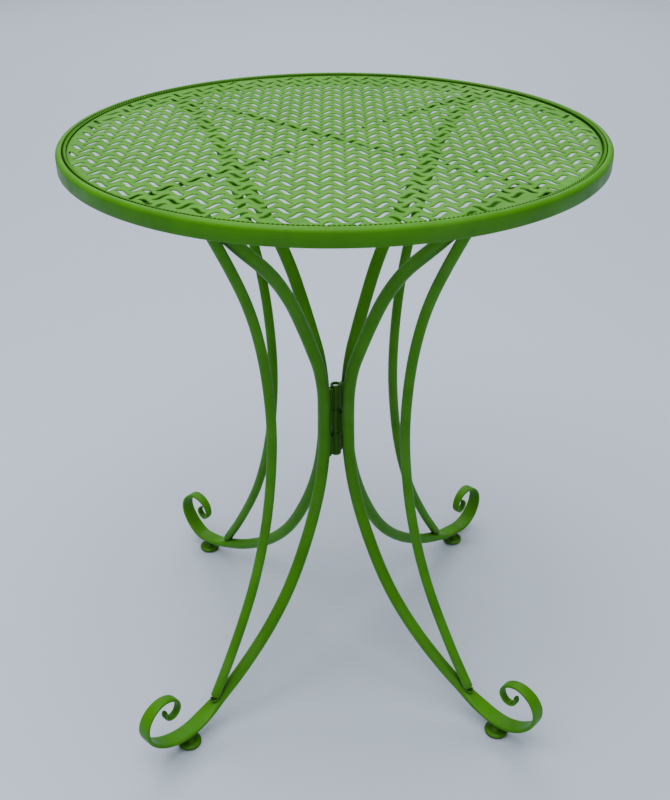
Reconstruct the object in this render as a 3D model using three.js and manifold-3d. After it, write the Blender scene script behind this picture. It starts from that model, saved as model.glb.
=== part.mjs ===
// Round garden bistro table: a slotted sheet top in a rolled hoop, standing on two
// leg frames that cross at a vertical hinge. Millimetres, +Z up, floor at Z = 0.
import * as THREE from 'three';
import { mergeVertices } from 'three/addons/utils/BufferGeometryUtils.js';
import Module from 'manifold-3d';

const wasm = await Module();
wasm.setup();

const GAP = 0.3;                     // clearance left wherever two pieces touch

// --- table top ---
const TOP_RADIUS = 300;
const RIM_BOTTOM = 715.5;
const RIM_TOP = 733.8;
const RIM_WALL = 2.6;
const SHOULDER_WIDTH = 7;            // rolled upper edge, outside to lip
const SHOULDER_DROP = 4.8;
const LEDGE_RADIUS = 284;            // inner edge of the ledge that carries the sheet
const LEDGE_TOP = 729.3;
const LEDGE_THICKNESS = 2;
const BEAD_RADIUS = 2.2;             // twisted wire that frames the sheet
const SHEET_THICKNESS = 1.6;
const BRACE_RADIUS = 2;

// --- leg frames ---
const MAIN_RADIUS = 7.95;
const OUTER_RADIUS = 6.35;
const HUB_RADIUS = 21.8;               // hinge axis to the centre of each main bar
const PAD_CENTRE = 282;              // hinge axis to the centre of each foot pad
const PAD_RADIUS = 15.3;
const PAD_THICKNESS = 7;
const STUD_RADIUS = 5;
const RIBBON_WIDTH = 22;
const RIBBON_THICKNESS = 6;
const SCROLL_TIP = [9, 3.6];         // width and thickness at the end of the scroll

// --- hinge ---
const KNUCKLE_RADIUS = 6.35;
const PIN_RADIUS = 4;
const BARREL_BOTTOM = 311;
const BARREL_TOP = 415;
const KNUCKLE_COUNT = 3;
const WEB_THICKNESS = 6;
const WEB_MARGIN = 3;                // knuckle ends stand this far past the webs

const BAR_SIDES = 10;
const HOOP_SIDES = 64;
const LEGS = { fl: -135, fr: -45, br: 45, bl: 135 };

const GREEN = 0x4f9a1e;
const group = new THREE.Group();
group.name = 'bistro_table';

function add(name, geometry, colour = GREEN, roughness = 0.42) {
  const material = new THREE.MeshStandardMaterial({ color: colour, roughness, metalness: 0.1 });
  material.name = `${name}_finish`;
  const mesh = new THREE.Mesh(geometry, material);
  mesh.name = name;
  group.add(mesh);
}

// ---- solid helpers -------------------------------------------------------
function toManifold(geometry) {
  const g = geometry.clone();
  g.deleteAttribute('normal');
  g.deleteAttribute('uv');
  const m = mergeVertices(g, 1e-4);
  return new wasm.Manifold(new wasm.Mesh({
    numProp: 3,
    vertProperties: new Float32Array(m.attributes.position.array),
    triVerts: new Uint32Array(m.index.array),
  }));
}

function fromManifold(manifold) {
  const mesh = manifold.getMesh();
  const g = new THREE.BufferGeometry();
  g.setAttribute('position', new THREE.BufferAttribute(new Float32Array(mesh.vertProperties), 3));
  g.setIndex(new THREE.BufferAttribute(new Uint32Array(mesh.triVerts), 1));
  const flat = g.toNonIndexed();
  flat.computeVertexNormals();
  return flat;
}

function box(x0, x1, y0, y1, z0, z1) {
  const g = new THREE.BoxGeometry(x1 - x0, y1 - y0, z1 - z0);
  g.translate((x0 + x1) / 2, (y0 + y1) / 2, (z0 + z1) / 2);
  return g;
}

// Solid of revolution about Z from [radius, height] points running up the outside.
function turned(points, segments) {
  const profile = points.map(([r, z]) => new THREE.Vector2(r, z));
  const g = new THREE.LatheGeometry(profile, segments);
  g.rotateX(Math.PI / 2);
  return g;
}

// Section swept along a curve in the X-Z plane through the given arc-length fractions.
// size(t) gives the half width along Y, the half thickness in the plane and the
// roundness exponent of the section.
function swept(curve, fractions, sides, size) {
  const positions = [];
  for (const t of fractions) {
    const p = curve.getPointAt(t);
    const d = curve.getTangentAt(t);
    const [halfWidth, halfThick, power] = size(t);
    for (let k = 0; k < sides; k += 1) {
      const a = (2 * Math.PI * (k + 0.5)) / sides;
      const c = Math.cos(a);
      const s = Math.sin(a);
      const w = halfWidth * Math.sign(c) * Math.abs(c) ** power;
      const h = halfThick * Math.sign(s) * Math.abs(s) ** power;
      positions.push(p.x - d.z * h, w, p.z + d.x * h);
    }
  }
  const first = positions.length / 3;
  const start = curve.getPointAt(0);
  const end = curve.getPointAt(1);
  positions.push(start.x, 0, start.z, end.x, 0, end.z);
  const index = [];
  const spans = fractions.length - 1;
  const last = spans * sides;
  for (let k = 0; k < sides; k += 1) {
    const n = (k + 1) % sides;
    for (let i = 0; i < spans; i += 1) {
      const a = i * sides;
      const b = a + sides;
      index.push(a + k, a + n, b + n, a + k, b + n, b + k);
    }
    index.push(first, n, k, first + 1, last + k, last + n);
  }
  const g = new THREE.BufferGeometry();
  g.setAttribute('position', new THREE.Float32BufferAttribute(positions, 3));
  g.setIndex(index);
  return g;
}

function flatCurve(points) {
  const path = points.map(([r, z]) => new THREE.Vector3(r, 0, z));
  const curve = new THREE.CatmullRomCurve3(path, false, 'centripetal');
  curve.arcLengthDivisions = 600;
  return curve;
}

const steps = (count) => Array.from({ length: count + 1 }, (_, i) => i / count);
const smooth = (t, a, b) => THREE.MathUtils.smoothstep(t, a, b);
const mix = THREE.MathUtils.lerp;

// ---- table top -----------------------------------------------------------
const lipRadius = TOP_RADIUS - SHOULDER_WIDTH;
const shoulderSteps = 4;
const rimSection = [[TOP_RADIUS - RIM_WALL, RIM_BOTTOM], [TOP_RADIUS, RIM_BOTTOM]];
for (const u of steps(shoulderSteps)) {
  const a = (u * Math.PI) / 2;
  rimSection.push([lipRadius + SHOULDER_WIDTH * Math.cos(a),
    RIM_TOP - SHOULDER_DROP * (1 - Math.sin(a))]);
}
const ledgeBottom = LEDGE_TOP - LEDGE_THICKNESS;
rimSection.push([lipRadius, LEDGE_TOP], [LEDGE_RADIUS, LEDGE_TOP], [LEDGE_RADIUS, ledgeBottom],
  [TOP_RADIUS - RIM_WALL, ledgeBottom], rimSection[0]);
add('top_rim', turned(rimSection, HOOP_SIDES));

// Sheet and wire ring lie on the ledge, the ring outside the edge of the sheet.
const beadCentre = [lipRadius - GAP - BEAD_RADIUS, LEDGE_TOP + GAP + BEAD_RADIUS];
const sheetRadius = beadCentre[0] - BEAD_RADIUS - GAP;
const sheetBottom = LEDGE_TOP + GAP;
const sheetTop = sheetBottom + SHEET_THICKNESS;
add('top_sheet', turned([[0, sheetBottom], [sheetRadius, sheetBottom],
  [sheetRadius, sheetTop], [0, sheetTop]], HOOP_SIDES));

const beadSides = 6;
const beadSection = steps(beadSides).map((u) => {
  const a = 2 * Math.PI * u;
  return [beadCentre[0] + BEAD_RADIUS * Math.cos(a), beadCentre[1] + BEAD_RADIUS * Math.sin(a)];
});
add('top_bead_ring', turned(beadSection, HOOP_SIDES));

// Wire braces under the sheet: one full diameter, two halves butted against it.
const braceZ = sheetBottom - GAP - BRACE_RADIUS;
const braceEnd = LEDGE_RADIUS - 2 * GAP;
function brace(name, from, azimuth) {
  const g = new THREE.CylinderGeometry(BRACE_RADIUS, BRACE_RADIUS, braceEnd - from, 10);
  g.rotateZ(Math.PI / 2);
  g.translate((from + braceEnd) / 2, 0, braceZ);
  add(name, g.rotateZ(THREE.MathUtils.degToRad(azimuth)));
}
brace('top_brace_long', -braceEnd, LEGS.fl);
brace('top_brace_fr', BRACE_RADIUS + GAP, LEGS.fr);
brace('top_brace_bl', BRACE_RADIUS + GAP, LEGS.bl);

// ---- legs ----------------------------------------------------------------
// Main bar: from under the rim, in to the hinge, out to the foot and round the scroll.
const seatHeight = braceZ - BRACE_RADIUS - GAP;
const mainUpper = [[279, 728.6], [231, 712], [187.5, 679], [144.5, 636.5], [103.5, 594.7],
  [76, 554.5], [56, 513.3], [39, 473], [30, 449.3], [24.5, 424.6], [HUB_RADIUS, 400]];
const mainLower = [[HUB_RADIUS, 345.6], [23, 320.8], [33.5, 267], [57.2, 204.5],
  [94.8, 139.3], [138.5, 93], [190.2, 56.8]];
const scroll = [[233, 36], [255, 27.9], [278, 22.9], [298, 22], [316, 28],
  [330, 39.5], [338.5, 55], [338, 72.5], [328.5, 86.5], [313, 93.5], [298.5, 90.5], [289, 81],
  [287, 68.7], [293.5, 59.6], [302.5, 59.6], [308, 66.7], [305.8, 74.2]];
const mainCurve = flatCurve([...mainUpper, ...mainLower, ...scroll]);

// Arc-length fraction at which a curve first reaches the given radius on its way out.
function fractionAt(curve, radius, from) {
  let t = from;
  while (t < 1 && curve.getPointAt(t).x < radius) t += 0.001;
  return t;
}
const forgeStart = fractionAt(mainCurve, 215, 0.5);
const forgeEnd = fractionAt(mainCurve, 262, 0.5);
function mainSize(t) {
  const flat = smooth(t, forgeStart, forgeEnd);
  const taper = THREE.MathUtils.clamp((t - forgeEnd) / (1 - forgeEnd), 0, 1);
  const width = mix(RIBBON_WIDTH, SCROLL_TIP[0], smooth(taper, 0.2, 1));
  const thick = mix(RIBBON_THICKNESS, SCROLL_TIP[1], taper);
  return [mix(MAIN_RADIUS, width / 2, flat), mix(MAIN_RADIUS, thick / 2, flat),
    mix(1, 0.45, flat)];
}

// Outer bar: from the underside of the main bar near the rim down to its foot.
const outerCurve = flatCurve([[200, 691], [181.5, 656.5], [160, 613.5], [144, 577.2],
  [131.2, 538], [119.4, 479], [113.8, 400], [118, 335.7], [131.5, 261.2], [158, 181.3],
  [199, 101], [238.5, 38.5]]);

function turnAbout(geometry, azimuth) {
  return geometry.clone().rotateZ(THREE.MathUtils.degToRad(azimuth));
}

// The sections close up towards the tip, where the scroll is tightest.
const barSteps = steps(30).map((u) => u * forgeStart);
const scrollSteps = steps(28).slice(1).map((u) => mix(forgeStart, 1, 1 - (1 - u) ** 1.4));
const mainSteps = [...barSteps, ...scrollSteps];
const roughMain = toManifold(swept(mainCurve, mainSteps, BAR_SIDES, mainSize));
const aboveSeat = toManifold(box(LEDGE_RADIUS / 2, TOP_RADIUS, -RIBBON_WIDTH, RIBBON_WIDTH,
  seatHeight, RIM_TOP + RIM_WALL));
const mainSolid = roughMain.subtract(aboveSeat);

// The outer bar is coped to the main bar at both ends with a hairline weld gap.
const copeSize = (t) => mainSize(t).map((v, i) => (i < 2 ? v + GAP + 0.1 : v));
const cope = toManifold(swept(mainCurve, mainSteps, BAR_SIDES, copeSize));
const outerSolid = toManifold(swept(outerCurve, steps(24), BAR_SIDES,
  () => [OUTER_RADIUS, OUTER_RADIUS, 1]))
  .subtract(cope);
const outerPieces = outerSolid.decompose().sort((a, b) => b.volume() - a.volume());

const ribbonUnder = mainCurve.getPointAt(fractionAt(mainCurve, PAD_CENTRE, 0.5)).z
  - RIBBON_THICKNESS / 2;
const padTop = PAD_THICKNESS;
const pad = turned([[0, 0], [PAD_RADIUS - 2, 0], [PAD_RADIUS, 2.4], [PAD_RADIUS - 1.2, padTop - 1],
  [STUD_RADIUS + 3, padTop + 1.5], [STUD_RADIUS, padTop + 4],
  [STUD_RADIUS, ribbonUnder - GAP - 0.3], [0, ribbonUnder - GAP - 0.3]], 20);
pad.translate(PAD_CENTRE, 0, 0);

for (const [corner, azimuth] of Object.entries(LEGS)) {
  add(`leg_${corner}_main`, turnAbout(fromManifold(mainSolid), azimuth));
  add(`leg_${corner}_outer`, turnAbout(fromManifold(outerPieces[0]), azimuth));
  add(`leg_${corner}_pad`, turnAbout(pad, azimuth));
}

// ---- hinge ---------------------------------------------------------------
const pitch = (BARREL_TOP - BARREL_BOTTOM) / KNUCKLE_COUNT;
const knuckleNames = ['bottom', 'middle', 'top'];
const webLegs = [['fl', 'br'], ['fr', 'bl'], ['fl', 'br']];
knuckleNames.forEach((name, i) => {
  const z0 = BARREL_BOTTOM + i * pitch + (i > 0 ? GAP / 2 : 0);
  const z1 = BARREL_BOTTOM + (i + 1) * pitch - (i < KNUCKLE_COUNT - 1 ? GAP / 2 : 0);
  const bore = PIN_RADIUS + GAP;
  add(`hub_knuckle_${name}`, turned([[bore, z0], [KNUCKLE_RADIUS, z0], [KNUCKLE_RADIUS, z1],
    [bore, z1], [bore, z0]], 20));
  // Each web is cut to the curve of the bar that it is welded to.
  const web = toManifold(box(KNUCKLE_RADIUS + GAP, HUB_RADIUS, -WEB_THICKNESS / 2,
    WEB_THICKNESS / 2, z0 + WEB_MARGIN, z1 - WEB_MARGIN)).subtract(cope);
  for (const corner of webLegs[i]) {
    add(`hub_web_${name}_${corner}`, turnAbout(fromManifold(web), LEGS[corner]));
  }
});
add('hub_pin', turned([[0, BARREL_BOTTOM + 2], [PIN_RADIUS, BARREL_BOTTOM + 2],
  [PIN_RADIUS, BARREL_TOP - 2], [0, BARREL_TOP - 2]], 20), 0x8b8f92, 0.35);

export default group;
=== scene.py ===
# Looks for the round garden bistro table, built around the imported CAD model.
# Metres, in the CAD frame: hinge axis on Z, floor at Z = 0, legs at 45 degrees.
# The legs' centrelines are the exception: (radius, height) points in millimetres.
import math
import random

import bpy
from mathutils import Matrix, Vector
from mathutils.geometry import delaunay_2d_cdt


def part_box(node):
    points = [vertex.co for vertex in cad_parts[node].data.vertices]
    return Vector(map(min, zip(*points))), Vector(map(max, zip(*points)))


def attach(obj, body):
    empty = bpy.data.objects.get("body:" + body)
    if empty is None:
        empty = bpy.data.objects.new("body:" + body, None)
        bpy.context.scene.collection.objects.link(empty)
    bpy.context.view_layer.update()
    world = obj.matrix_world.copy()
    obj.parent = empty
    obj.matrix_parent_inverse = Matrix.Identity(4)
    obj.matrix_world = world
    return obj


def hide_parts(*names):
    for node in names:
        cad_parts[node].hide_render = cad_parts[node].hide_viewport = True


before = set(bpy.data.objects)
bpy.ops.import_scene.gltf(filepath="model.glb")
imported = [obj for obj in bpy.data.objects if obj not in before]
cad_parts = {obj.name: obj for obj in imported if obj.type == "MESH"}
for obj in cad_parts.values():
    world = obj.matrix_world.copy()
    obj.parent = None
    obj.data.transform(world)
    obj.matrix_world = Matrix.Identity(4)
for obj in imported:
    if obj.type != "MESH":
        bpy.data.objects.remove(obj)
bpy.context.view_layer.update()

MM = 0.001
TAU = 2 * math.pi
GAP = 0.0003               # clearance between neighbouring pieces
LEGS = {"fl": -135, "fr": -45, "br": 45, "bl": 135}
FRAME_A = "frame_fl_br"
FRAME_B = "frame_fr_bl"
TOP = "table_top"
LEG_BODY = {"fl": FRAME_A, "br": FRAME_A, "fr": FRAME_B, "bl": FRAME_B}
BRACE_WELD, TOP_WELD, FOOT_WELD, WEB_WELD = 0.0012, 0.0019, 0.0014, 0.0015   # bead radii
rng = random.Random(7)     # only the weld beads draw from it


def smooth_step(x, a, b):
    t = min(1.0, max(0.0, (x - a) / (b - a)))
    return t * t * (3 - 2 * t)


def mix(a, b, t):
    return a + (b - a) * t


# ---- materials -------------------------------------------------------------
DUST = (0.36, 0.38, 0.26)
BARE_METAL = (0.16, 0.15, 0.13)
MOTTLE_SHADE = 0.82
SPECK_SHADE = 0.7
# Painted shade: how dark the ambient-occlusion darkening gets, and how far from nearby surfaces it
# reaches.
PAINTED_SHADE_FACTOR = 0.18
PAINTED_SHADE_REACH = 0.035


def powder_coat(name, colour, worn=0.0, grime=0.1):
    """Satin powder coat: fine orange peel, faint mottling, dust in soft patches,
    painted shade in creases and under other parts (ambient occlusion); worn above 0 adds small chips
    down to the metal."""
    mat = bpy.data.materials.new(name)
    mat.use_nodes = True
    nodes, links = mat.node_tree.nodes, mat.node_tree.links
    bsdf = nodes["Principled BSDF"]
    coords = nodes.new("ShaderNodeTexCoord")

    def noise(scale, detail, roughness=0.5):
        n = nodes.new("ShaderNodeTexNoise")
        n.inputs["Scale"].default_value = scale
        n.inputs["Detail"].default_value = detail
        n.inputs["Roughness"].default_value = roughness
        links.new(coords.outputs["Object"], n.inputs["Vector"])
        return n.outputs["Fac"]

    def ramp(source, low, high, a, b):
        r = nodes.new("ShaderNodeMapRange")
        r.inputs["From Min"].default_value = low
        r.inputs["From Max"].default_value = high
        r.inputs["To Min"].default_value = a
        r.inputs["To Max"].default_value = b
        links.new(source, r.inputs["Value"])
        return r.outputs["Result"]

    def blend(fac, a, b):
        m = nodes.new("ShaderNodeMix")
        m.data_type = "RGBA"
        links.new(fac, m.inputs[0])
        for socket, value in ((m.inputs[6], a), (m.inputs[7], b)):
            if isinstance(value, tuple):
                socket.default_value = (*value, 1)
            else:
                links.new(value, socket)
        return m.outputs[2]

    deep = tuple(c * MOTTLE_SHADE for c in colour)
    dusty = tuple(mix(c, d, grime) for c, d in zip(colour, DUST))
    mottled = blend(ramp(noise(24, 4), 0.35, 0.65, 0, 1), deep, colour)
    dusted = blend(ramp(noise(9, 6, 0.62), 0.52, 0.74, 0, 0.7), mottled, dusty)
    specks = ramp(noise(420, 2), 0.62, 0.7, 0, 0.35)
    final = blend(specks, dusted, tuple(c * SPECK_SHADE for c in colour))
    if worn:
        chips = ramp(noise(95, 5, 0.7), 0.7 - worn, 0.73 - worn, 0, 1)
        final = blend(chips, final, BARE_METAL)
    # Painted shade: ambient occlusion darkens the colour in creases and up to 35 mm under the sheet,
    # hoop and other parts.
    painted_shade_ao = nodes.new("ShaderNodeAmbientOcclusion")
    painted_shade_ao.inputs["Distance"].default_value = PAINTED_SHADE_REACH
    painted_shade_ao.samples = 6
    final = blend(ramp(painted_shade_ao.outputs["AO"], 0.35, 0.92, 0.9, 0), final,
                  tuple(c * PAINTED_SHADE_FACTOR for c in colour))
    links.new(final, bsdf.inputs["Base Color"])
    links.new(ramp(noise(60, 5), 0.3, 0.7, 0.34, 0.5), bsdf.inputs["Roughness"])
    bsdf.inputs["Specular IOR Level"].default_value = 0.14

    peel = nodes.new("ShaderNodeBump")
    peel.inputs["Strength"].default_value = 0.12
    peel.inputs["Distance"].default_value = 0.0004
    links.new(noise(900, 3), peel.inputs["Height"])
    lumps = nodes.new("ShaderNodeBump")
    lumps.inputs["Strength"].default_value = 0.1
    lumps.inputs["Distance"].default_value = 0.001
    links.new(noise(130, 3), lumps.inputs["Height"])
    links.new(peel.outputs["Normal"], lumps.inputs["Normal"])
    links.new(lumps.outputs["Normal"], bsdf.inputs["Normal"])
    return mat


def bare_steel(name):
    """Drawn steel: mottled grey metal with fine uneven gloss."""
    mat = bpy.data.materials.new(name)
    mat.use_nodes = True
    nodes, links = mat.node_tree.nodes, mat.node_tree.links
    bsdf = nodes["Principled BSDF"]
    bsdf.inputs["Metallic"].default_value = 1.0
    coords = nodes.new("ShaderNodeTexCoord")
    noise = nodes.new("ShaderNodeTexNoise")
    noise.inputs["Scale"].default_value = 260
    noise.inputs["Detail"].default_value = 5
    links.new(coords.outputs["Object"], noise.inputs["Vector"])
    tone = nodes.new("ShaderNodeValToRGB")
    tone.color_ramp.elements[0].color = (0.2, 0.2, 0.2, 1)
    tone.color_ramp.elements[1].color = (0.46, 0.46, 0.47, 1)
    links.new(noise.outputs["Fac"], tone.inputs["Fac"])
    links.new(tone.outputs["Color"], bsdf.inputs["Base Color"])
    rough = nodes.new("ShaderNodeMapRange")
    rough.inputs["To Min"].default_value = 0.3
    rough.inputs["To Max"].default_value = 0.5
    links.new(noise.outputs["Fac"], rough.inputs["Value"])
    links.new(rough.outputs["Result"], bsdf.inputs["Roughness"])
    bump = nodes.new("ShaderNodeBump")
    bump.inputs["Strength"].default_value = 0.1
    bump.inputs["Distance"].default_value = 0.0003
    links.new(noise.outputs["Fac"], bump.inputs["Height"])
    links.new(bump.outputs["Normal"], bsdf.inputs["Normal"])
    return mat


GREEN = (0.052, 0.228, 0.001)
SHEET_PAINTED_LIGHT = (1.05, 1.1, 2)          # painted light: the flat sheet faces the overhead light, so it gets a lighter copy of the bars' green
coat = powder_coat("green_coat", GREEN)
coat_worn = powder_coat("green_coat_foot", GREEN, worn=0.05, grime=0.25)
coat_sheet_lit = powder_coat("green_coat_sheet_lit", tuple(c * f for c, f in zip(GREEN, SHEET_PAINTED_LIGHT)))
steel = bare_steel("pin_steel")


# ---- mesh helpers ----------------------------------------------------------
def add_piece(name, verts, faces, body, nodes=(), material=None, flat=0):
    """Mesh piece on a body; nodes are the CAD nodes it replaces, flat the angle in
    degrees above which an edge stays sharp (0: all smooth)."""
    mesh = bpy.data.meshes.new(name)
    mesh.from_pydata([tuple(v) for v in verts], [], faces)
    mesh.validate()
    mesh.update()
    mesh.materials.append(material or coat)
    mesh.polygons.foreach_set("use_smooth", [True] * len(mesh.polygons))
    obj = bpy.data.objects.new(name, mesh)
    bpy.context.scene.collection.objects.link(obj)
    if flat:
        mesh.set_sharp_from_angle(angle=math.radians(flat))
    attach(obj, body)
    if nodes:
        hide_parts(*nodes)
    return obj


def turned(points, segments, centre=(0, 0)):
    """Solid of revolution about a vertical axis from (radius, height) points."""
    verts, faces = [], []
    closed = points[0] == points[-1]
    rows = points[:-1] if closed else points
    starts = []
    for r, z in rows:
        starts.append(len(verts))
        if r < 1e-9:
            verts.append((centre[0], centre[1], z))
        else:
            for k in range(segments):
                a = TAU * k / segments
                verts.append((centre[0] + r * math.cos(a), centre[1] + r * math.sin(a), z))
    pairs = list(zip(range(len(rows) - 1), range(1, len(rows))))
    if closed:
        pairs.append((len(rows) - 1, 0))
    for i, j in pairs:
        a, b = starts[i], starts[j]
        pole_a, pole_b = rows[i][0] < 1e-9, rows[j][0] < 1e-9
        for k in range(segments):
            n = (k + 1) % segments
            if pole_a:
                faces.append((a, b + n, b + k))
            elif pole_b:
                faces.append((a + k, a + n, b))
            else:
                faces.append((a + k, a + n, b + n, b + k))
    return verts, faces


def rounded(points, radius, steps=4):
    """Rounds the inner corners of an open (radius, height) profile."""
    out = [points[0]]
    for p, c, n in zip(points, points[1:], points[2:]):
        c2, p2, n2 = Vector(c), Vector(p), Vector(n)
        d1 = min(radius, (p2 - c2).length * 0.48)
        d2 = min(radius, (n2 - c2).length * 0.48)
        a = c2 + (p2 - c2).normalized() * d1
        b = c2 + (n2 - c2).normalized() * d2
        for i in range(steps + 1):
            t = i / steps
            out.append(tuple(a.lerp(c2, t).lerp(c2.lerp(b, t), t)))
    out.append(points[-1])
    return out


class Path:
    """Centripetal Catmull-Rom curve through (r, z) points, measured by length."""

    def __init__(self, points, fine=14):
        pts = [Vector((r * MM, z * MM)) for r, z in points]
        pts = [2 * pts[0] - pts[1]] + pts + [2 * pts[-1] - pts[-2]]
        dense = []
        for p0, p1, p2, p3 in zip(pts, pts[1:], pts[2:], pts[3:]):
            k = [0.0]
            for a, b in ((p0, p1), (p1, p2), (p2, p3)):
                k.append(k[-1] + math.sqrt((b - a).length))
            for i in range(fine):
                t = mix(k[1], k[2], i / fine)
                a1 = p0.lerp(p1, (t - k[0]) / (k[1] - k[0]))
                a2 = p1.lerp(p2, (t - k[1]) / (k[2] - k[1]))
                a3 = p2.lerp(p3, (t - k[2]) / (k[3] - k[2]))
                b1 = a1.lerp(a2, (t - k[0]) / (k[2] - k[0]))
                b2 = a2.lerp(a3, (t - k[1]) / (k[3] - k[1]))
                dense.append(b1.lerp(b2, (t - k[1]) / (k[2] - k[1])))
        dense.append(pts[-2])
        self.points = dense
        self.at = [0.0]
        for a, b in zip(dense, dense[1:]):
            self.at.append(self.at[-1] + (b - a).length)
        self.length = self.at[-1]

    def point(self, s):
        s = min(max(s, 0.0), self.length)
        lo, hi = 0, len(self.at) - 1
        while hi - lo > 1:
            mid = (lo + hi) // 2
            if self.at[mid] <= s:
                lo = mid
            else:
                hi = mid
        t = (s - self.at[lo]) / max(1e-9, self.at[hi] - self.at[lo])
        return self.points[lo].lerp(self.points[hi], t)

    def tangent(self, s, h=0.003):
        return (self.point(s + h) - self.point(s - h)).normalized()

    def where(self, radius, after=0.5):
        """Length at which the curve first passes a radius, in mm, past its middle."""
        s = self.length * after
        while s < self.length and self.point(s).x < radius * MM:
            s += 0.0005
        return s


def in_leg(azimuth):
    """Places (radius, sideways, height) in the upright plane of one leg."""
    a = math.radians(azimuth)
    out = Vector((math.cos(a), math.sin(a), 0))
    side = Vector((-math.sin(a), math.cos(a), 0))
    return lambda r, w, z: out * r + side * w + Vector((0, 0, z))


def swept(path, stations, sides, size, place):
    """Section swept along a path: size(s) gives half width, half thickness, power."""
    verts, faces = [], []
    for s in stations:
        p, d = path.point(s), path.tangent(s)
        half_w, half_t, power = size(s)
        for k in range(sides):
            a = TAU * (k + 0.5) / sides
            c, q = math.cos(a), math.sin(a)
            w = half_w * math.copysign(abs(c) ** power, c)
            h = half_t * math.copysign(abs(q) ** power, q)
            verts.append(place(p.x - d.y * h, w, p.y + d.x * h))
    for i in range(len(stations) - 1):
        a, b = i * sides, (i + 1) * sides
        for k in range(sides):
            n = (k + 1) % sides
            faces.append((a + k, a + n, b + n, b + k))
    last = (len(stations) - 1) * sides
    faces.append(tuple(reversed(range(sides))))
    faces.append(tuple(last + k for k in range(sides)))
    return verts, faces


def weld_bead(name, centres, normal_out, size, body):
    """A fillet weld as a chain of overlapping flattened drops along a line."""
    verts, faces = [], []
    rings, sides = 5, 10
    for i, c in enumerate(centres):
        along = (centres[min(i + 1, len(centres) - 1)] - centres[max(i - 1, 0)])
        along = along.normalized() if along.length > 1e-9 else Vector((1, 0, 0))
        up = normal_out[i]
        up = (up - along * up.dot(along)).normalized()
        across = along.cross(up)
        grow = size * rng.uniform(0.9, 1.12)
        base = len(verts)
        verts.append(c + (up * 1.05 + along * 0.024).normalized() * grow)
        for j in range(1, rings):
            el = math.pi * j / rings
            for k in range(sides):
                a = TAU * k / sides
                verts.append(
                    c
                    + up * math.cos(el) * grow
                    + (along * math.cos(a) + across * math.sin(a)) * math.sin(el) * grow
                )
        verts.append(c - up * grow)
        end = len(verts) - 1
        for k in range(sides):
            n = (k + 1) % sides
            faces.append((base, base + 1 + k, base + 1 + n))
            low = base + 1 + (rings - 2) * sides
            faces.append((end, low + n, low + k))
            for j in range(rings - 2):
                r = base + 1 + j * sides
                faces.append((r + k, r + sides + k, r + sides + n, r + n))
    return add_piece(name, verts, faces, body)


# ---- table top -------------------------------------------------------------
rim_low, rim_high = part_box("top_rim")
sheet_low, sheet_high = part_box("top_sheet")
bead_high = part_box("top_bead_ring")[1]
brace_low, brace_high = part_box("top_brace_long")
TOP_R = 0.300
LIP = 0.293                # inner edge of the hoop's rounded shoulder
WALL = 0.0026
LEDGE_R = 0.284            # inner edge of the ledge that the sheet rests on
SHOULDER_START = LIP + 0.0016
SHOULDER_DROP = 0.0048
ledge_top = sheet_low.z - GAP
ledge_low = ledge_top - 0.002

section = [(TOP_R - WALL, rim_low.z + 0.0006), (TOP_R - WALL + 0.0006, rim_low.z)]
section += [(TOP_R - 0.0008, rim_low.z), (TOP_R, rim_low.z + 0.0009)]
for i in range(13):
    a = math.pi / 2 * i / 12
    section.append((SHOULDER_START + (TOP_R - SHOULDER_START) * math.cos(a),
                    rim_high.z - SHOULDER_DROP * (1 - math.sin(a))))
section += [(LIP + 0.0009, rim_high.z - 0.0002), (LIP + 0.0003, rim_high.z - 0.0007)]
section += [(LIP, rim_high.z - 0.0015)]
section += [(LIP, ledge_top + 0.0005), (LIP - 0.0004, ledge_top)]
section += [(LEDGE_R + 0.0003, ledge_top), (LEDGE_R, ledge_top - 0.0004)]
section += [(LEDGE_R, ledge_low + 0.0003), (LEDGE_R + 0.0003, ledge_low)]
section += [(TOP_R - WALL - 0.0012, ledge_low), (TOP_R - WALL, ledge_low - 0.0012)]
section.append(section[0])
verts, faces = turned(section, 240)
add_piece("rim_hoop", verts, faces, TOP, ["top_rim"], flat=50)

# Twisted wire ring: two strands wound round each other inside the hoop's lip.
RING_HALF = 0.0022
STRAND_R = 0.00098
WIND_R = 0.0012
LOBE_PITCH = 0.0044
ring_r = LIP - GAP - RING_HALF
ring_z = bead_high.z - 0.00205
lobes = 2 * round(TAU * ring_r / LOBE_PITCH / 2)
ring_steps = lobes * 5
verts, faces = [], []
for phase in (0, math.pi):
    base = len(verts)
    sides = 7
    for i in range(ring_steps):
        u = TAU * i / ring_steps
        turn = phase + lobes / 2 * u
        out = Vector((math.cos(u), math.sin(u), 0))
        up = Vector((0, 0, 1))
        centre = out * (ring_r + math.cos(turn) * WIND_R) + up * (ring_z + math.sin(turn) * WIND_R)
        for k in range(sides):
            a = TAU * k / sides
            verts.append(centre + (out * math.cos(a) + up * math.sin(a)) * STRAND_R)
    for i in range(ring_steps):
        a, b = base + i * sides, base + ((i + 1) % ring_steps) * sides
        for k in range(sides):
            n = (k + 1) % sides
            faces.append((a + k, a + n, b + n, b + k))
add_piece("twisted_wire_ring", verts, faces, TOP, ["top_bead_ring"])


# Pressed sheet: columns of S-shaped slots that lean left and right in turn.
SLOT_PITCH = (0.0253, 0.0252)
SLOT_ORIGIN = (0.0146, 0.2584)
SLOT_ROWS_TURN = math.radians(-2.3)
SLOT_HALF = (0.0068, 0.0062)
SLOT_HALF_WIDTH = 0.0021
SLOT_HOOK = 1.42           # above 1, the S reaches full height before its ends
SLOT_REACH = 0.2856        # slots crossing this radius stop there, at the hoop
SHEET_R = 0.2877
CELL = 0.02                # grid for finding the slots near a point
# Loops round each slot: growth, drop of the top face, rise of the lower face.
SLOT_LOOPS = ((0.0, -0.0008, 0.0004), (0.0006, -0.0003, 0.0), (0.0014, 0.0, 0.0))
sheet_top = sheet_high.z
sheet_bottom = sheet_low.z


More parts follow.
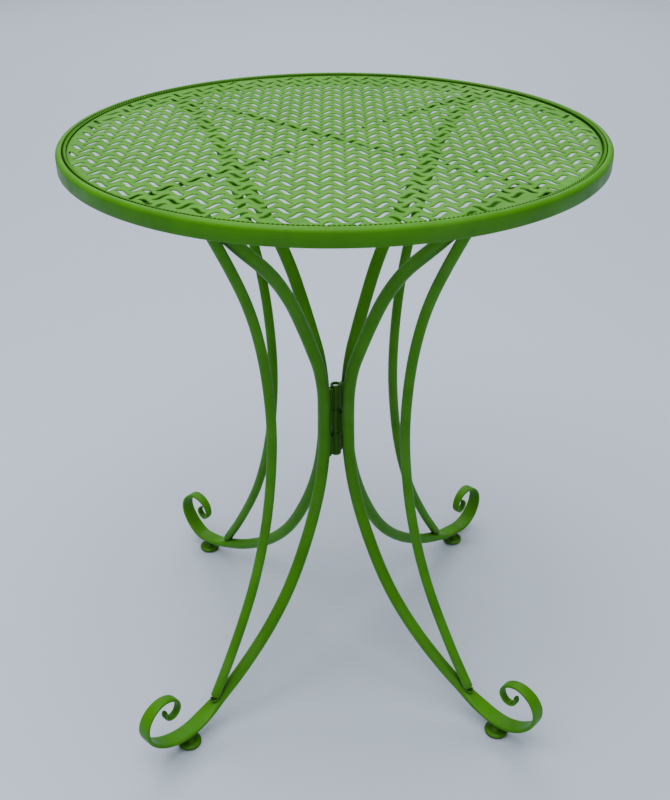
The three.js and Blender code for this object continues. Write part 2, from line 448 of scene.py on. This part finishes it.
def slot_outline(cx, cy, lean, grow, steps=10):
    """Closed outline of one slot: an S of constant width with flat hooked ends."""
    half_width = SLOT_HALF_WIDTH + grow
    line = []
    for i in range(steps + 1):
        u = 2 * i / steps - 1
        rise = math.sin(math.pi / 2 * max(-1, min(1, u * SLOT_HOOK)))
        line.append(Vector((u * SLOT_HALF[0], rise * SLOT_HALF[1])))
    left, right = [], []
    for i, p in enumerate(line):
        d = (line[min(i + 1, steps)] - line[max(i - 1, 0)]).normalized()
        n = Vector((-d.y, d.x))
        tip = i in (0, steps)
        out = d * (grow + 0.0005) * (0 if not tip else 1 if i else -1)
        left.append(p + n * half_width * (0.6 if tip else 1) + out)
        right.append(p - n * half_width * (0.6 if tip else 1) + out)
    loop = right + left[::-1]
    if lean < 0:
        loop = [Vector((-p.x, p.y)) for p in loop][::-1]
    c, s = math.cos(SLOT_ROWS_TURN), math.sin(SLOT_ROWS_TURN)
    loop = [Vector((cx + p.x * c - p.y * s, cy + p.x * s + p.y * c)) for p in loop]
    limit = SLOT_REACH + grow * 0.8
    return [p if p.length < limit else p * (limit / p.length) for p in loop]


def inside(x, y, loop):
    """Whether a point lies in a closed outline."""
    odd = False
    for a, b in zip(loop, loop[1:] + loop[:1]):
        if (a.y > y) != (b.y > y) and x < a.x + (y - a.y) * (b.x - a.x) / (b.y - a.y):
            odd = not odd
    return odd


def slot_centres(reach):
    """Centre and lean of each slot: two interleaved grids, one for each lean."""
    c, s = math.cos(SLOT_ROWS_TURN), math.sin(SLOT_ROWS_TURN)
    half = math.ceil(2 * reach / min(SLOT_PITCH)) + 2
    for lean, shift in ((-1, 0.0), (1, 0.5)):
        for i in range(-half, half):
            for j in range(-half, half):
                u, v = (i + shift) * SLOT_PITCH[0], (j + shift) * SLOT_PITCH[1]
                x = SLOT_ORIGIN[0] + u * c - v * s
                y = SLOT_ORIGIN[1] + u * s + v * c
                if math.hypot(x, y) < reach:
                    yield x, y, lean


def build_sheet():
    """Closed sheet: one flat triangulation, cut at the slots, for both faces."""
    coords, edges, heights = [], [], []

    def add_loop(points, top, bottom):
        first = len(coords)
        coords.extend(points)
        heights.extend([(top, bottom)] * len(points))
        n = len(points)
        edges.extend((first + k, first + (k + 1) % n) for k in range(n))

    for radius, top in ((SHEET_R, -0.0004), (SHEET_R - 0.0009, 0.0)):
        angles = [TAU * k / 288 for k in range(288)]
        add_loop([Vector((radius * math.cos(a), radius * math.sin(a))) for a in angles], top, 0.0)
    cells = {}
    for x, y, lean in slot_centres(SLOT_REACH - 0.0015):
        for grow, top, bottom in SLOT_LOOPS:
            add_loop(slot_outline(x, y, lean, grow), top, bottom)
        hole = slot_outline(x, y, lean, 0.0)
        for i in (-1, 0, 1):
            for j in (-1, 0, 1):
                key = (math.floor(x / CELL) + i, math.floor(y / CELL) + j)
                cells.setdefault(key, []).append(hole)
    out = delaunay_2d_cdt(coords, edges, [], 0, 1e-7)
    new_verts, new_faces, sources = out[0], out[2], out[3]
    top_z = [sheet_top + min((heights[s][0] for s in src), default=0.0) for src in sources]
    low_z = [sheet_bottom + max((heights[s][1] for s in src), default=0.0) for src in sources]
    kept = []
    for f in new_faces:
        x = sum(new_verts[i].x for i in f) / len(f)
        y = sum(new_verts[i].y for i in f) / len(f)
        near = cells.get((math.floor(x / CELL), math.floor(y / CELL)), ())
        if not any(inside(x, y, hole) for hole in near):
            kept.append(tuple(f))
    count = len(new_verts)
    verts = [(v.x, v.y, z) for v, z in zip(new_verts, top_z)]
    verts += [(v.x, v.y, z) for v, z in zip(new_verts, low_z)]
    faces = kept + [tuple(i + count for i in reversed(f)) for f in kept]
    sides = {(a, b) for f in kept for a, b in zip(f, f[1:] + f[:1])}
    faces += [(b, a, a + count, b + count) for a, b in sorted(sides) if (b, a) not in sides]
    used = sorted({i for f in faces for i in f})
    index = {v: i for i, v in enumerate(used)}
    return [verts[i] for i in used], [tuple(index[i] for i in f) for f in faces]


verts, faces = build_sheet()
# The sheet takes the lighter painted-light copy of the green coat.
add_piece("slotted_sheet", verts, faces, TOP, ["top_sheet"], coat_sheet_lit, flat=60)


def brace(name, node, azimuth, start, end):
    """Round wire across the underside, with a weld where it meets the hoop."""
    place = in_leg(azimuth)
    z = (brace_low.z + brace_high.z) / 2
    radius = (brace_high.z - brace_low.z) / 2
    verts, faces = [], []
    sides, rounds = 16, ((0.0, 0.55), (0.0006, 0.9), (0.0014, 1.0))
    rows = [(start + d, f) for d, f in rounds] + [(end - d, f) for d, f in reversed(rounds)]
    for r, f in rows:
        for k in range(sides):
            a = TAU * k / sides
            verts.append(place(r, radius * f * math.cos(a), z + radius * f * math.sin(a)))
    for i in range(len(rows) - 1):
        for k in range(sides):
            n = (k + 1) % sides
            faces.append((i * sides + k, i * sides + n, (i + 1) * sides + n, (i + 1) * sides + k))
    faces.append(tuple(reversed(range(sides))))
    faces.append(tuple((len(rows) - 1) * sides + k for k in range(sides)))
    add_piece(name, verts, faces, TOP, [node], flat=45)
    for sign, r in ((-1, start), (1, end)):
        if abs(r) < 0.05:
            continue
        spots = [place(r, w * MM, z + 0.4 * MM) for w in (-2.2, -0.8, 0.8, 2.2)]
        ups = [place(-sign, 0, -0.6)] * len(spots)
        weld_bead(f"{name}_weld_{'in' if sign < 0 else 'out'}", spots, ups, BRACE_WELD, TOP)


BRACE_END = 0.2834
BRACE_START = 0.0023       # the half wires start beside the through wire
brace("brace_long", "top_brace_long", LEGS["fl"], -BRACE_END, BRACE_END)
brace("brace_right", "top_brace_fr", LEGS["fr"], BRACE_START, BRACE_END)
brace("brace_left", "top_brace_bl", LEGS["bl"], BRACE_START, BRACE_END)

# ---- legs ------------------------------------------------------------------
HUB_R = 21.8
MAIN_UPPER = [(279, 728.6), (231, 712), (187.5, 679), (144.5, 636.5), (103.5, 594.7),
              (76, 554.5), (56, 513.3), (39, 473), (30, 449.3), (24.5, 424.6), (HUB_R, 400)]
MAIN_LOWER = [(HUB_R, 345.6), (23, 320.8), (33.5, 267), (57.2, 204.5), (94.8, 139.3),
              (138.5, 93), (190.2, 56.8)]
FOOT = [(233, 36), (255, 27.9), (278, 22.9)]
SCROLL = [(298, 22), (316, 28), (330, 39.5), (338.5, 55), (338, 72.5), (328.5, 86.5),
          (313, 93.5), (298.5, 90.5), (289, 81), (287, 68.7), (293.5, 59.6), (302.5, 59.6),
          (308, 66.7), (305.8, 74.2)]
# The scrolls were bent by hand: each sits a few millimetres out or in, and up or down.
SCROLL_SHIFT = {"fl": (7, 8), "fr": (-1.5, 5), "br": (0, -6), "bl": (-9, 1)}
SHIFT_EASE = [0.4, 0.8] + [1] * (len(SCROLL) - 2)
OUTER = [(199.2, 689.6), (181.5, 656.5), (160, 613.5), (144, 577.2), (131.2, 538),
         (119.4, 479), (113.8, 400), (118, 335.7), (131.5, 261.2), (158, 181.3),
         (199.5, 101), (234.5, 45.5)]
MAIN_R = 0.00795
OUTER_R = 0.00635
RIBBON = (0.022, 0.006)    # width and thickness where the bar is forged flat
TIP = (0.009, 0.0036)      # and at the scroll's inner end
FORGE_FROM, FORGE_TO = 215, 262


def bent_main(corner):
    """Centreline of one main bar, with its own scroll."""
    dr, dz = SCROLL_SHIFT[corner]
    scroll = [(r + dr * w, z + dz * w) for (r, z), w in zip(SCROLL, SHIFT_EASE)]
    return Path(MAIN_UPPER + MAIN_LOWER + FOOT + scroll)


main_path = Path(MAIN_UPPER + MAIN_LOWER + FOOT + SCROLL)
outer_path = Path(OUTER)
forge_start = main_path.where(FORGE_FROM)
forge_end = main_path.where(FORGE_TO)
seat = brace_low.z - GAP   # the bar ends are flattened at this height


def main_size(s, length):
    """Half width, half thickness and corner power: round bar, then tapering ribbon."""
    flat = smooth_step(s, forge_start, forge_end)
    taper = min(1.0, max(0.0, (s - forge_end) / (length - forge_end)))
    width = mix(RIBBON[0], TIP[0], smooth_step(taper, 0.2, 1))
    thick = mix(RIBBON[1], TIP[1], taper)
    end = length - s
    close = 1.0 if end > 0.003 else math.sqrt(max(0.02, 1 - (1 - end / 0.003) ** 2))
    return (mix(MAIN_R, width / 2, flat) * close, mix(MAIN_R, thick / 2, flat) * mix(1, close, 0.7),
            mix(1, 0.42, flat))


def outer_size(s):
    end = min(s, outer_path.length - s)
    close = 1.0 if end > 0.0016 else math.sqrt(max(0.3, 1 - (1 - end / 0.0016) ** 2))
    return OUTER_R * close, OUTER_R * close, 1


def main_stations(length):
    stations, s = [], 0.0
    while s < length - 0.003:
        stations.append(s)
        s += 0.009 if s < forge_start - 0.02 else 0.0032
    return stations + [length - d for d in (0.003, 0.0018, 0.0009, 0.0003, 0.0)]


outer_stations = [0.0, 0.0004, 0.0009, 0.0016]
count = int(outer_path.length / 0.01)
outer_stations += [mix(0.0016, outer_path.length - 0.0016, (i + 1) / (count + 1))
                   for i in range(count)]
outer_stations += [outer_path.length - d for d in (0.0016, 0.0009, 0.0004, 0.0)]

pad_centre = (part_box("leg_br_pad")[0].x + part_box("leg_br_pad")[1].x) / 2 * math.sqrt(2)
pad_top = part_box("leg_br_pad")[1].z

for corner, azimuth in LEGS.items():
    body = LEG_BODY[corner]
    place = in_leg(azimuth)
    bar = bent_main(corner)
    verts, faces = swept(bar, main_stations(bar.length), 28,
                         lambda s, n=bar.length: main_size(s, n), place)
    verts = [Vector((v.x, v.y, min(v.z, seat))) if v.z > 0.6 else v for v in verts]
    add_piece(f"{corner}_main_bar", verts, faces, body, [f"leg_{corner}_main"], flat=62)
    verts, faces = swept(outer_path, outer_stations, 24, outer_size, place)
    add_piece(f"{corner}_outer_bar", verts, faces, body, [f"leg_{corner}_outer"], flat=62)

    # Fillet welds along both sides of the upper joint and round the lower end.
    for side in (-1, 1):
        spots, ups = [], []
        for i in range(12):
            p = outer_path.point(mix(0.002, 0.03, i / 11))
            near = min((main_path.point(main_path.length * 0.35 * k / 240) for k in range(240)),
                       key=lambda q, p=p: (q - p).length)
            m = p.lerp(near, 0.46)
            spots.append(place(m.x, side * 0.0042, m.y))
            ups.append(place(0, side, 0))
        weld_bead(f"{corner}_top_weld_{'a' if side < 0 else 'b'}", spots, ups, TOP_WELD, body)
    foot = outer_path.point(outer_path.length - 0.002)
    spots, ups = [], []
    for i in range(14):
        a = TAU * i / 14
        spots.append(place(foot.x + 0.0062 * math.cos(a) * 1.1, 0.0056 * math.sin(a),
                           foot.y - 0.0012 - 0.0042 * math.cos(a)))
        ups.append(place(0.2, 0, 1))
    weld_bead(f"{corner}_foot_weld", spots, ups, FOOT_WELD, body)

    # Foot glide: a domed disc on a short stud welded under the scroll.
    at = place(pad_centre, 0, 0)
    profile = [(0, 0), (0.0128, 0), (0.0153, 0.0022), (0.0152, 0.0048), (0.0126, 0.0066),
               (0.0078, 0.0078), (0.0052, 0.0098), (0.0049, pad_top - 0.002),
               (0.0062, pad_top), (0.0, pad_top)]
    verts, faces = turned(rounded(profile, 0.0011), 40, (at.x, at.y))
    add_piece(f"{corner}_glide", verts, faces, body, [f"leg_{corner}_pad"], coat_worn, flat=50)

# ---- hinge -----------------------------------------------------------------
KNUCKLE_R = 0.0069
BORE_R = 0.0043
PIN_R = 0.004
WEB_HALF, WEB_EDGE, WEB_BITE = 0.003, 0.0008, 0.0008   # half thickness, chamfer, overlap
WEBS = {"bottom": ("fl", "br"), "middle": ("fr", "bl"), "top": ("fl", "br")}
for level, corners in WEBS.items():
    body = LEG_BODY[corners[0]]
    low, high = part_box(f"hub_knuckle_{level}")
    middle = (BORE_R, (low.z + high.z) / 2)
    ring = [middle, (BORE_R, low.z), (KNUCKLE_R, low.z), (KNUCKLE_R, high.z), (BORE_R, high.z),
            middle]
    verts, faces = turned(rounded(ring, 0.0009, 3), 40)
    add_piece(f"knuckle_{level}", verts, faces, body, [f"hub_knuckle_{level}"], flat=50)
    for corner in corners:
        place = in_leg(LEGS[corner])
        z0, z1 = (point.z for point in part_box(f"hub_web_{level}_{corner}"))
        r0, r1 = KNUCKLE_R - WEB_BITE, HUB_R * MM - MAIN_R + WEB_BITE
        half, soft = WEB_HALF, WEB_EDGE
        verts, faces = [], []
        outline = [(half - soft, z0), (half, z0 + soft), (half, z1 - soft), (half - soft, z1)]
        outline += [(-w, z) for w, z in reversed(outline)]
        for r in (r0, r1):
            verts += [place(r, w, z) for w, z in outline]
        n = len(outline)
        faces = [(k, k + n, (k + 1) % n + n, (k + 1) % n) for k in range(n)]
        faces += [tuple(range(n)), tuple(reversed(range(n, 2 * n)))]
        add_piece(f"web_{level}_{corner}", verts, faces, body, [f"hub_web_{level}_{corner}"], flat=40)
        for side in (-1, 1):
            for where, r in (("bar", r1 - 0.0009), ("barrel", r0 + 0.0008)):
                steps = 13
                spots = [place(r, side * 0.0029, mix(z0 + 0.001, z1 - 0.001, i / (steps - 1)))
                         for i in range(steps)]
                ups = [place(0.5 if where == "barrel" else -0.5, side, 0)] * steps
                label = "a" if side < 0 else "b"
                weld_bead(f"web_{level}_{corner}_{where}_{label}", spots, ups, WEB_WELD, body)

pin_low, pin_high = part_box("hub_pin")
profile = [(0, pin_low.z), (PIN_R, pin_low.z), (PIN_R, pin_high.z), (0, pin_high.z)]
verts, faces = turned(rounded(profile, 0.0008), 32)
add_piece("hinge_pin", verts, faces, FRAME_A, ["hub_pin"], steel, flat=50)

# ---- floor, light, camera ----------------------------------------------------
floor_mat = bpy.data.materials.new("studio_floor")
floor_mat.use_nodes = True
floor_nodes = floor_mat.node_tree
floor_bsdf = floor_nodes.nodes["Principled BSDF"]
floor_noise = floor_nodes.nodes.new("ShaderNodeTexNoise")
floor_noise.inputs["Scale"].default_value = 3
floor_ramp = floor_nodes.nodes.new("ShaderNodeValToRGB")
floor_ramp.color_ramp.elements[0].color = (0.48, 0.55, 0.665, 1)
floor_ramp.color_ramp.elements[1].color = (0.515, 0.585, 0.7, 1)
floor_nodes.links.new(floor_noise.outputs["Fac"], floor_ramp.inputs["Fac"])
floor_nodes.links.new(floor_ramp.outputs["Color"], floor_bsdf.inputs["Base Color"])
floor_bsdf.inputs["Roughness"].default_value = 0.7
floor_mesh = bpy.data.meshes.new("floor")
FLOOR_HALF = 14
ends = [(x * FLOOR_HALF, y * FLOOR_HALF, 0) for x, y in ((-1, -1), (1, -1), (1, 1), (-1, 1))]
floor_mesh.from_pydata(ends, [], [(0, 1, 2, 3)])
floor_mesh.materials.append(floor_mat)
floor = bpy.data.objects.new("floor", floor_mesh)
bpy.context.scene.collection.objects.link(floor)

world = bpy.data.worlds.new("studio")
bpy.context.scene.world = world
world.use_nodes = True
world.node_tree.nodes["Background"].inputs["Color"].default_value = (0.9, 0.95, 1.0, 1)
world.node_tree.nodes["Background"].inputs["Strength"].default_value = 0.3


def soft_light(name, place_at, target, size, power, colour=(1, 1, 1)):
    data = bpy.data.lights.new(name, "AREA")
    data.shape = "RECTANGLE"
    data.size, data.size_y = size
    data.energy = power
    data.color = colour
    obj = bpy.data.objects.new(name, data)
    obj.location = place_at
    direction = Vector(target) - Vector(place_at)
    obj.rotation_euler = direction.to_track_quat("-Z", "Y").to_euler()
    bpy.context.scene.collection.objects.link(obj)


soft_light("overhead", (-0.4, -0.5, 3.6), (0, 0, 0), (3.4, 3.4), 190)
soft_light("backdrop_wash", (0, 5.0, 4.0), (0, 5.5, 0), (6, 4), 260)
soft_light("front_fill", (1.0, -3.2, 1.4), (0, 0, 0.3), (2.5, 1.5), 12, (0.96, 0.98, 1))

# Camera: in front of the table, 0.3 m above its top, looking down about 30 degrees.
EYE = Vector((-0.0451, -1.0916, 1.0311))
PITCH, YAW, ROLL = (math.radians(d) for d in (30.36, 2.32, -0.31))
LENS, SENSOR = 44.658, 36          # millimetres; the sensor size is along the long side
forward = Vector((math.sin(YAW) * math.cos(PITCH), math.cos(YAW) * math.cos(PITCH),
                  -math.sin(PITCH)))
level = Vector((math.cos(YAW), -math.sin(YAW), 0))
upward = level.cross(forward)
right = level * math.cos(ROLL) + upward * math.sin(ROLL)
up = upward * math.cos(ROLL) - level * math.sin(ROLL)
camera_data = bpy.data.cameras.new("camera")
camera_data.sensor_width = SENSOR
camera_data.lens = LENS
camera_data.clip_start = 0.01
camera = bpy.data.objects.new("camera", camera_data)
turn = Matrix((right, up, -forward)).transposed().to_4x4()
camera.matrix_world = Matrix.Translation(EYE) @ turn
bpy.context.scene.collection.objects.link(camera)
bpy.context.scene.camera = camera
